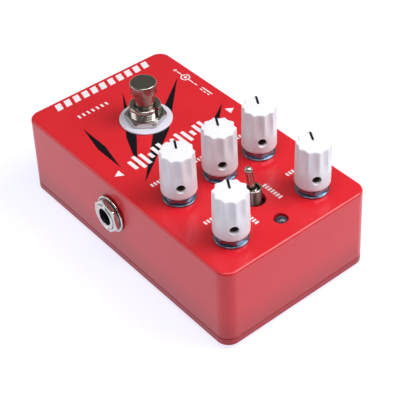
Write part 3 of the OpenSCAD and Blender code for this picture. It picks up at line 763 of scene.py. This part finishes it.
def build_footswitch(materials):
    """The nylon washer, hex nut, threaded bushing with its keyway, button and spring."""
    x, y = SWITCH_AT.x, SWITCH_AT.y
    washer_top = high("footswitch_washer").z
    nut_top = high("footswitch_nut").z
    top = high("footswitch_bushing").z
    base = low("footswitch_bushing").z
    washer_r, washer_bore, flats, nut_bore, nut_turn = 10.0, 6.15, 14.0, 6.08, 50
    washer = flat_washer(washer_r, washer_bore, PANEL_Z, washer_top, 0.3)
    add_piece("nylon_washer", shifted(washer, x, y), materials["nylon"], "root",
              ["footswitch_washer"])
    nut = hex_nut(flats, nut_bore, washer_top, nut_top, math.radians(nut_turn))
    add_piece("footswitch_panel_nut", shifted(nut, x, y), materials["panel_hardware"], "root",
              ["footswitch_nut"], 25)
    thread_r, bore_r, pitch, thread_depth, flange_t = 6.0, 3.85, 1.0, 0.5, 1
    lip_r = 0.65
    lip = arc(5.3, top - lip_r, lip_r, 0, 90, 8) + [(4.7, top), (4.55, top - 0.15)]
    inner = [(4.5, top - 0.3), (4.1, top - 0.35), (bore_r, top - 0.6), (bore_r, base)]
    outer = threaded(thread_r, base + flange_t, top - 0.8, pitch, thread_depth, lip + inner)
    bushing = add_mesh("footswitch_threaded_bushing", *shifted(outer, x, y),
                       materials["switch_metal"])
    half, root_r = 1.0, 4.7
    keyway = box_part((-half, root_r, nut_top - 0.5), (half, thread_r + 2, top + PAST))
    turn = Matrix.Translation((x, y, 0)) @ Matrix.Rotation(math.radians(KEYWAY_TURN), 4, "Z")
    cut(bushing, [placed(keyway, turn)])
    half = 8.6
    flange = box_part((x - half, y - half, base), (x + half, y + half, base + flange_t))
    combine(bushing, [flange], "UNION")
    start, end = base - PAST, base + flange_t + 0.5
    cut(bushing, [turned([(0, start), (bore_r, start), (bore_r, end), (0, end)], 64, (x, y))])
    smooth(bushing, 30)
    settle(bushing, "root", ["footswitch_bushing"])
    build_button(materials, x, y)
    build_spring(materials, x, y)


def build_spring(materials, x, y):
    """The return spring's coils."""
    wire_r, coil_r, turns, steps, sides, closed_gap = 0.4, 3.5, 5, 24, 10, 0.1
    bottom = low("footswitch_spring").z + wire_r
    top = high("footswitch_spring").z - wire_r
    rings = []
    for k in range(turns * steps + 1):
        a = 2 * math.pi * k / steps
        z = bottom + (top - bottom) * k / (turns * steps)
        ring = []
        for px, pz in arc(0, 0, wire_r, 0, 360 - 360 / sides, sides - 1):
            r = coil_r + px
            ring.append((x + r * math.cos(a), y + r * math.sin(a), z + pz))
        rings.append(ring[::-1])
    spring = add_piece("footswitch_coil", stack(rings), materials["spring_steel"], "root",
                       ["footswitch_spring"], 60)
    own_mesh(spring)


def build_button(materials, x, y):
    """The footswitch button: a domed cap with a bright rim, on a plain shaft."""
    bottom = low("footswitch_button").z
    top = high("footswitch_button").z
    cap_r, shaft_r, cap_h, cone_h = 4.95, 3.75, 4.4, 1.2
    foot_r, foot_h, under_r, rim_r = 4.6, 1.2, 0.35, 0.55
    dome_r, dome_h = 4.4, 0.32
    cap_z = top - cap_h
    profile = [(0, bottom), (foot_r - 0.1, bottom), (foot_r, bottom + 0.1),
               (foot_r, bottom + foot_h - 0.1), (foot_r - 0.1, bottom + foot_h),
               (shaft_r, bottom + foot_h), (shaft_r, cap_z - cone_h)]
    profile += arc(cap_r - under_r, cap_z + 0.1, under_r, -45, 0, 4)
    profile += arc(cap_r - rim_r, top - 0.35 - rim_r, rim_r, 0, 80, 8)
    profile += [(dome_r * (1 - k / 10), top - dome_h * (1 - k / 10) ** 2) for k in range(11)]
    add_piece("footswitch_plunger", turned(profile, 128, (x, y)), materials["shaded_button_nickel"],
              "footswitch_button", ["footswitch_button"], 40)


# ---- Toggle switch and status light ----

# How far the lever leans to +X from upright, in degrees
TOGGLE_LEAN = 10.0


def build_toggle(materials):
    """The toggle switch's threaded bushing and its bat lever."""
    x, y = TOGGLE_AT.x, TOGGLE_AT.y
    top = high("toggle_bushing").z
    base = low("toggle_bushing").z
    bore_r, pitch, thread_depth, cover_t = 2.35, 0.5, 0.16, 0.5
    inner = [(2.95, top - 0.12), (2.75, top), (2.5, top), (2.38, top - 0.15), (bore_r, base)]
    tube = threaded(3.05, base + cover_t, top - 0.3, pitch, thread_depth, inner, segments=72,
                    per_pitch=6)
    cover = box_part((x - 6.35, y - 3.5, base), (x + 6.35, y + 3.5, base + cover_t))
    bushing = add_mesh("toggle_threaded_bushing", *shifted(tube, x, y),
                       materials["switch_metal"])
    combine(bushing, [cover], "UNION")
    start, end = base - PAST, base + 0.8
    cut(bushing, [turned([(0, start), (bore_r, start), (bore_r, end), (0, end)], 48, (x, y))])
    smooth(bushing, 30)
    settle(bushing, "root", ["toggle_bushing"])
    length, tip_r, neck_r, ball_r, pivot_up = 12.4, 1.45, 1.15, 2.3, 3.0
    tail, tail_r, bevel = -5.0, 0.9, 0.15
    profile = [(0, tail), (tail_r - bevel, tail), (tail_r, tail + bevel), (tail_r, -2.1)]
    profile += arc(0, 0, ball_r, -66, 58, 14)
    profile += [(neck_r, 2.2), (neck_r + 0.05, 3.0), (tip_r - 0.03, length - tip_r - 0.6)]
    profile += arc(0, length - tip_r, tip_r, 0, 90, 10)[:-1] + [(0, length)]
    pivot = Vector((x, y, PANEL_Z + pivot_up))
    lean_over = Matrix.Translation(pivot) @ Matrix.Rotation(math.radians(TOGGLE_LEAN), 4, "Y")
    add_piece("toggle_bat", placed(turned(profile, 48), lean_over), materials["switch_metal"],
              "toggle_lever", ["toggle_lever"], 50)


def build_led(materials):
    """The status light: a clear dome with a foot flange, a small reflector cup and legs."""
    x, y = LED_AT.x, LED_AT.y
    top = high("status_led").z
    base = PANEL_Z - 8
    r, flange_r, flange_t = 2.45, 2.9, 1
    profile = [(0, base), (flange_r, base), (flange_r, base + flange_t), (r, base + flange_t)]
    profile += arc(0, top - r, r, 0, 90, 14)[:-1] + [(0, top)]
    add_piece("led_dome", turned(profile, 64, (x, y)), materials["led_lens"], "root",
              ["status_led"], 60)
    cup_z = top - 3.6
    cup = turned([(0, cup_z - 3), (0.5, cup_z - 3), (0.6, cup_z - 0.4), (1.15, cup_z + 0.6),
                  (0.95, cup_z + 0.6), (0.5, cup_z), (0, cup_z)], 32, (x - 0.5, y))
    post = box_part((x + 0.9, y - 0.3, cup_z - 3), (x + 1.3, y + 0.3, cup_z + 0.5))
    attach(add_mesh("led_cup", *joined([cup, post]), materials["tinned_metal"]), "root")
    legs = joined([box_part((x + s * 1.27 - 0.25, y - 0.25, low("status_led").z),
                            (x + s * 1.27 + 0.25, y + 0.25, base)) for s in (1, -1)])
    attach(add_mesh("led_legs", *legs, materials["tinned_metal"]), "root")


# ---- Jacks ----

def build_jacks(materials):
    """The rings, nuts and threaded sleeves of the input and output jacks."""
    washer_low = TOP_HALF_W + lean(JACK_AT.z) + 0.2
    washer_high = washer_low + 0.9
    nut_high = high("jack_nuts").x
    ring_r, ring_bore, flats, nut_bore, nut_turn = 7.2, 4.9, 12.0, 4.83, math.radians(42)
    thread_r, pitch, thread_depth, bore_r, mouth = 4.75, 0.8, 0.22, 3.25, 0.4
    sleeve_low = low("input_jack_sleeve").x
    sleeve_high = high("input_jack_sleeve").x
    rings, nuts = [], []
    for side, name in ((1, "input"), (-1, "output")):
        turn = out_of_side(side, JACK_AT.y, JACK_AT.z)
        ring = dished_washer(ring_r, ring_bore, washer_low, washer_high)
        rings.append(placed(ring, turn))
        nut = hex_nut(flats, nut_bore, washer_high, nut_high, nut_turn)
        nuts.append(placed(nut, turn))
        inner = [(4.6, sleeve_high - 0.1), (4.45, sleeve_high)]
        inner += arc(bore_r + mouth, sleeve_high - mouth, mouth, 90, 180, 5)
        inner += [(bore_r, sleeve_low)]
        tube = threaded(thread_r, sleeve_low, sleeve_high - 0.25, pitch, thread_depth, inner,
                        segments=96)
        sleeve = add_piece(name + "_threaded_sleeve", placed(tube, turn),
                           materials["jack_metal"], "root",
                           [name + "_jack_sleeve"], 30)
        line_bore(sleeve, bore_r + 0.05, materials["jack_black"])
    add_piece("jack_rings", joined(rings), materials["panel_hardware"], "root",
              ["jack_washers"])
    add_piece("jack_panel_nuts", joined(nuts), materials["panel_hardware"], "root",
              ["jack_nuts"], 25)


def line_bore(sleeve, r, lining):
    """Gives a jack sleeve's faces within a radius of its axis a dark lining."""
    sleeve.data.materials.append(lining)
    for polygon in sleeve.data.polygons:
        centre = polygon.center / MM
        if math.hypot(centre.y - JACK_AT.y, centre.z - JACK_AT.z) < r:
            polygon.material_index = 1


def dished_washer(r_out, r_in, z0, z1):
    """A washer with a raised, rounded rim."""
    rim = (z1 - z0) / 2
    face = z1 - 0.28
    profile = [(r_in, z0), (r_out - rim, z0)]
    profile += arc(r_out - rim, z0 + rim, rim, -90, 130, 12)
    profile += [(r_out - 2.2 * rim, face), (r_in + 0.1, face), (r_in, z1 - 0.35)]
    return turned(profile, 96)


def build_power_jack(materials):
    """The black power inlet: a rounded flange, a barrel and a blind socket round its pin."""
    tip = -low("power_jack_body").x
    back = -high("power_jack_body").x
    flange_z = tip - 1.8
    pin_r, socket_r, barrel_r, flange_r = 1.07, 2.8, 5.9, 6.7
    socket_end = tip - 10
    face = tip - 0.35
    profile = [(pin_r, back), (barrel_r - 0.3, back), (barrel_r, back + 0.3),
               (barrel_r, flange_z), (flange_r, flange_z)]
    profile += arc(flange_r, flange_z + 0.3, 0.3, -90, 0, 3)
    profile += arc(flange_r - 0.3, tip - 0.6, 0.6, 0, 90, 6)
    profile += [(4.3, tip), (4.1, face), (3.2, face)]
    profile += [(socket_r, face - 0.4), (socket_r, socket_end), (pin_r, socket_end)]
    turn = out_of_side(-1, POWER_AT.y, POWER_AT.z)
    add_piece("power_inlet", placed(turned(profile, 96), turn), materials["jack_black"],
              "root", ["power_jack_body"])


# ---- Print on the panel ----

# How far the ink stands above the panel, and reaches into it so that no gap shows
INK_UP = 0.03
INK_DOWN = 0.02
# Tapered dark stripes: the two ends, the width, and where along it a stripe is widest
STRIPES = [
    ((21.0, -36.5), (24.0, -9.0), 3.0, 0.5),
    ((-3.6, -45.0), (19.2, -5.6), 3.8, 0.62),
    ((-25.0, -38.0), (22.6, 3.2), 5.6, 0.52),
    ((-27.5, -14.0), (-3.0, 5.0), 3.6, 0.6),
]
# The arrows beside the input and output jacks
ARROWS = [
    [(25.6, -8.4), (28.6, -6.6), (25.6, -4.8)],
    [(-25.6, -6.8), (-28.6, -8.6), (-25.6, -10.4)],
]
# How many ticks stand under each knob, and how far from its middle
KNOB_TICKS = {"treble": 6, "middle": 6, "bass": 4, "gain": 4, "volume": 3}
KNOB_TICKS_DOWN = 11.0


def plate_mark(outline, base=PANEL_Z):
    """A thin raised mark of ink with the given outline, anticlockwise from above."""
    return stack([[(x, y, z) for x, y in outline] for z in (base - INK_DOWN, base + INK_UP)])


def bar(x, y, w, h, slant=0.0):
    """A bar's outline: w along X, h along Y, leaning by slant."""
    return [(x - w / 2 - slant / 2, y - h / 2), (x + w / 2 - slant / 2, y - h / 2),
            (x + w / 2 + slant / 2, y + h / 2), (x - w / 2 + slant / 2, y + h / 2)]


def blade(start, end, width, fullest):
    """A long tapered stripe between two points, widest part of the way along."""
    a, b = Vector(start), Vector(end)
    along = (b - a).normalized()
    side = Vector((-along.y, along.x))
    wide = a.lerp(b, fullest)
    return [tuple(a), tuple(wide - side * width / 2), tuple(b), tuple(wide + side * width / 2)]


def disc(x, y, r):
    """A disc's outline."""
    steps = 24
    return arc(x, y, r, 0, 360 - 360 / steps, steps - 1)


def ring_mark(x, y, r, w):
    """A ring of ink, in two halves."""
    halves = []
    for start in (0, 180):
        outline = arc(x, y, r + w / 2, start, start + 180, 16)
        outline += arc(x, y, r - w / 2, start + 180, start, 16)
        halves.append(plate_mark(outline))
    return halves


def mark_row(x, y, count, upright=True, w=0.75, h=1.7, pitch=1.35):
    """A short row of plain upright ticks, centred on a point. The row runs along X if
    upright is true, and along Y if it is false."""
    marks = []
    for k in range(count):
        shift = (k - (count - 1) / 2) * pitch
        if upright:
            marks.append(plate_mark(bar(x + shift, y, w, h)))
        else:
            marks.append(plate_mark(bar(x, y + shift, h, w)))
    return marks


def build_print(materials):
    """Plain generic graphics: dark stripes, a level-meter row, small marks and arrows."""
    black = joined([plate_mark(blade(*stripe)) for stripe in STRIPES])
    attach(add_mesh("panel_stripes", *black, materials["black_ink"]), "root")
    white = slanted_row() + level_meter()
    white += mark_row(11.5, -43.4, 7, w=0.8, h=1.9, pitch=2.1)
    white += [plate_mark(arrow) for arrow in ARROWS]
    white += polarity_marks(-27.6, -36.2)
    for name, count in KNOB_TICKS.items():
        at = CONTROL_AT[name]
        white += mark_row(at.x, at.y - KNOB_TICKS_DOWN, count)
    white += mark_row(-7.2, TOGGLE_AT.y + 1.5, 7, upright=False)
    white += mark_row(7.4, TOGGLE_AT.y + 6.4, 6, upright=False)
    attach(add_mesh("panel_marks", *joined(white), materials["white_ink"]), "root")


def slanted_row():
    """A row of equal slanted bars across the footswitch end."""
    count, first_x, pitch, y, w, h, slant = 11, 20.0, 4.1, -53.6, 2.6, 3.9, 1.0
    return [plate_mark(bar(first_x - pitch * k, y, w, h, slant)) for k in range(count)]


def level_meter():
    """A row of bars of waving height, printed over the stripes between the knobs and the
    footswitch."""
    count, first_x, pitch, y, w = 13, 20.0, 2.75, -7.2, 1.5
    bars = []
    for k in range(count):
        h = 2.6 + 5.4 * abs(math.sin(0.9 * k + 0.5))
        bars.append(plate_mark(bar(first_x - pitch * k, y, w, h), PANEL_Z + INK_UP))
    return bars


def polarity_marks(x, y):
    """The usual centre-pin symbol beside the power inlet, and a direct-current sign."""
    # Bars round the ring, as distance along X and Y, width and length: two stems, the minus,
    # the plus, and the long line of the direct-current sign with its three short ones
    bars = [(0, 3.6, 0.45, 3.0), (0, -3.6, 0.45, 3.0), (0, 6.4, 0.5, 1.6),
            (0, -6.4, 0.5, 1.6), (0, -6.4, 1.6, 0.5), (-0.6, 12.5, 0.5, 6.0)]
    bars += [(0.6, 10.4 + 2.1 * k, 0.5, 1.3) for k in range(3)]
    marks = ring_mark(x, y, 1.7, 0.5) + [plate_mark(disc(x, y, 0.7))]
    return marks + [plate_mark(bar(x + dx, y + dy, w, h)) for dx, dy, w, h in bars]


# ---- Surround, lights and camera ----

def direction(azimuth, elevation):
    """A unit vector towards a place on the sky; azimuth is measured from +X towards +Y."""
    a, e = math.radians(azimuth), math.radians(elevation)
    return Vector((math.cos(e) * math.cos(a), math.cos(e) * math.sin(a), math.sin(e)))


# Each light: azimuth, elevation, distance, width and length, and power
SOFTBOXES = {
    "key": (135, 52, 600, (360, 360), 3.0),
    "overhead": (52, 76, 400, (200, 200), 0.6),
    "fill": (-45, 28, 700, (400, 300), 0.8),
}
# Light from the sky, then its brighter or darker zones: azimuth, elevation, inner and outer
# angle, light
SKY_LIGHT = (0.15, 0.15, 0.16)
SKY_ZONES = [
    (52, 8, 25, 60, (0.1, 0.1, 0.11)),
    (232, 42, 22, 45, (0.17, 0.18, 0.155)),
]
# Light at the horizon, which gives way to the sky's between these angles from straight up
HORIZON_LIGHT = (1.0, 1.0, 1.0)
SKY_EDGE = (80, 92)
# The floor's own grey, the light it gives off, and how that light falls to a share of itself
# between two distances from the pedal
FLOOR_GREY = (0.28, 0.28, 0.28, 1)
FLOOR_GLOW = (0.76, 0.77, 0.88, 1)
GLOW_FADE = (190, 420)
GLOW_SHARE = 0.5
FLOOR_HALF = 3000
FLOOR_T = 10


def add_softbox(name, azimuth, elevation, distance, size, power):
    """A rectangular light that faces the pedal from a direction; sizes in millimetres."""
    light = bpy.data.lights.new(name, "AREA")
    light.shape = "RECTANGLE"
    light.size, light.size_y = (side * MM for side in size)
    light.energy = power
    lamp = bpy.data.objects.new(name, light)
    bpy.context.scene.collection.objects.link(lamp)
    towards = direction(azimuth, elevation)
    lamp.location = towards * distance * MM
    lamp.rotation_euler = towards.to_track_quat("Z", "Y").to_euler()


def near(tree, coordinates, azimuth, elevation, inner, outer):
    """A 0 to 1 value: 1 inside an angle from a direction, 0 beyond a wider one."""
    dot = tree.nodes.new("ShaderNodeVectorMath")
    dot.operation = "DOT_PRODUCT"
    dot.inputs[1].default_value = direction(azimuth, elevation)
    tree.links.new(coordinates, dot.inputs[0])
    edges = (math.cos(math.radians(outer)), math.cos(math.radians(inner)))
    return spread(tree, dot.outputs["Value"], edges, (0, 1))


def build_world():
    """A dim studio round the pedal, pale at the horizon, with zones for the metal to reflect."""
    world = bpy.data.worlds.new("studio")
    bpy.context.scene.world = world
    world.use_nodes = True
    tree = world.node_tree
    coordinates = tree.nodes.new("ShaderNodeTexCoord").outputs["Generated"]
    above = near(tree, coordinates, 0, 90, *SKY_EDGE)
    shade = tint(tree, above, HORIZON_LIGHT, SKY_LIGHT)
    for azimuth, elevation, inner, outer, light in SKY_ZONES:
        zone = near(tree, coordinates, azimuth, elevation, inner, outer)
        node = shade.node
        shade = tint(tree, zone, (0, 0, 0), light)
        tree.links.new(node.outputs["Result"], shade.node.inputs["A"])
    background = tree.nodes["Background"]
    tree.links.new(shade, background.inputs["Color"])
    background.inputs["Strength"].default_value = 1.0


def build_floor():
    """A plain pale floor, lit from below like a light table, so that it stays near white."""
    material, principled = shader("pale_floor", Base_Color=FLOOR_GREY, Roughness=0.8,
                                  Emission_Color=FLOOR_GLOW)
    tree = material.node_tree
    coordinates = tree.nodes.new("ShaderNodeTexCoord")
    away = tree.nodes.new("ShaderNodeVectorMath")
    away.operation = "LENGTH"
    tree.links.new(coordinates.outputs["Object"], away.inputs[0])
    fade = [distance * MM for distance in GLOW_FADE]
    glow = spread(tree, away.outputs["Value"], fade, (1, GLOW_SHARE))
    tree.links.new(glow, principled.inputs["Emission Strength"])
    slab = box_part((-FLOOR_HALF, -FLOOR_HALF, GROUND_Z - FLOOR_T),
                    (FLOOR_HALF, FLOOR_HALF, GROUND_Z))
    add_mesh("floor", *slab, material)


def build_lights():
    """The sky, the glowing floor and three soft lights."""
    build_world()
    build_floor()
    for name, settings in SOFTBOXES.items():
        add_softbox(name, *settings)
    bpy.context.scene.view_settings.view_transform = "Standard"


def build_camera():
    """The camera at the product shot's three-quarter angle, from the knob end."""
    azimuth, elevation, roll = (math.radians(v) for v in (142.15, 41.5, -2.84))
    distance = 438.0
    target = Vector((-8.67, -6.41, PLATE_LOW))
    back = Vector((math.sin(azimuth) * math.cos(elevation),
                   -math.cos(azimuth) * math.cos(elevation), math.sin(elevation)))
    level_right = (-back).cross(Vector((0, 0, 1))).normalized()
    level_up = level_right.cross(-back)
    right = level_right * math.cos(roll) + level_up * math.sin(roll)
    up = level_up * math.cos(roll) - level_right * math.sin(roll)
    camera = bpy.data.cameras.new("camera")
    camera.sensor_width = 36
    camera.lens = 102.3
    camera.clip_start = 0.01
    obj = bpy.data.objects.new("camera", camera)
    bpy.context.scene.collection.objects.link(obj)
    turn = Matrix((right, up, back)).transposed().to_4x4()
    obj.matrix_world = Matrix.Translation((target + back * distance) * MM) @ turn
    bpy.context.scene.camera = obj


MATERIALS = make_materials()
dress_cad_nodes(MATERIALS)
build_camera()
build_lights()
for build in (build_enclosure, build_base_plate, build_feet, build_controls, build_footswitch,
              build_toggle, build_led, build_jacks, build_power_jack, build_print):
    build(MATERIALS)

bpy.context.view_layer.update()
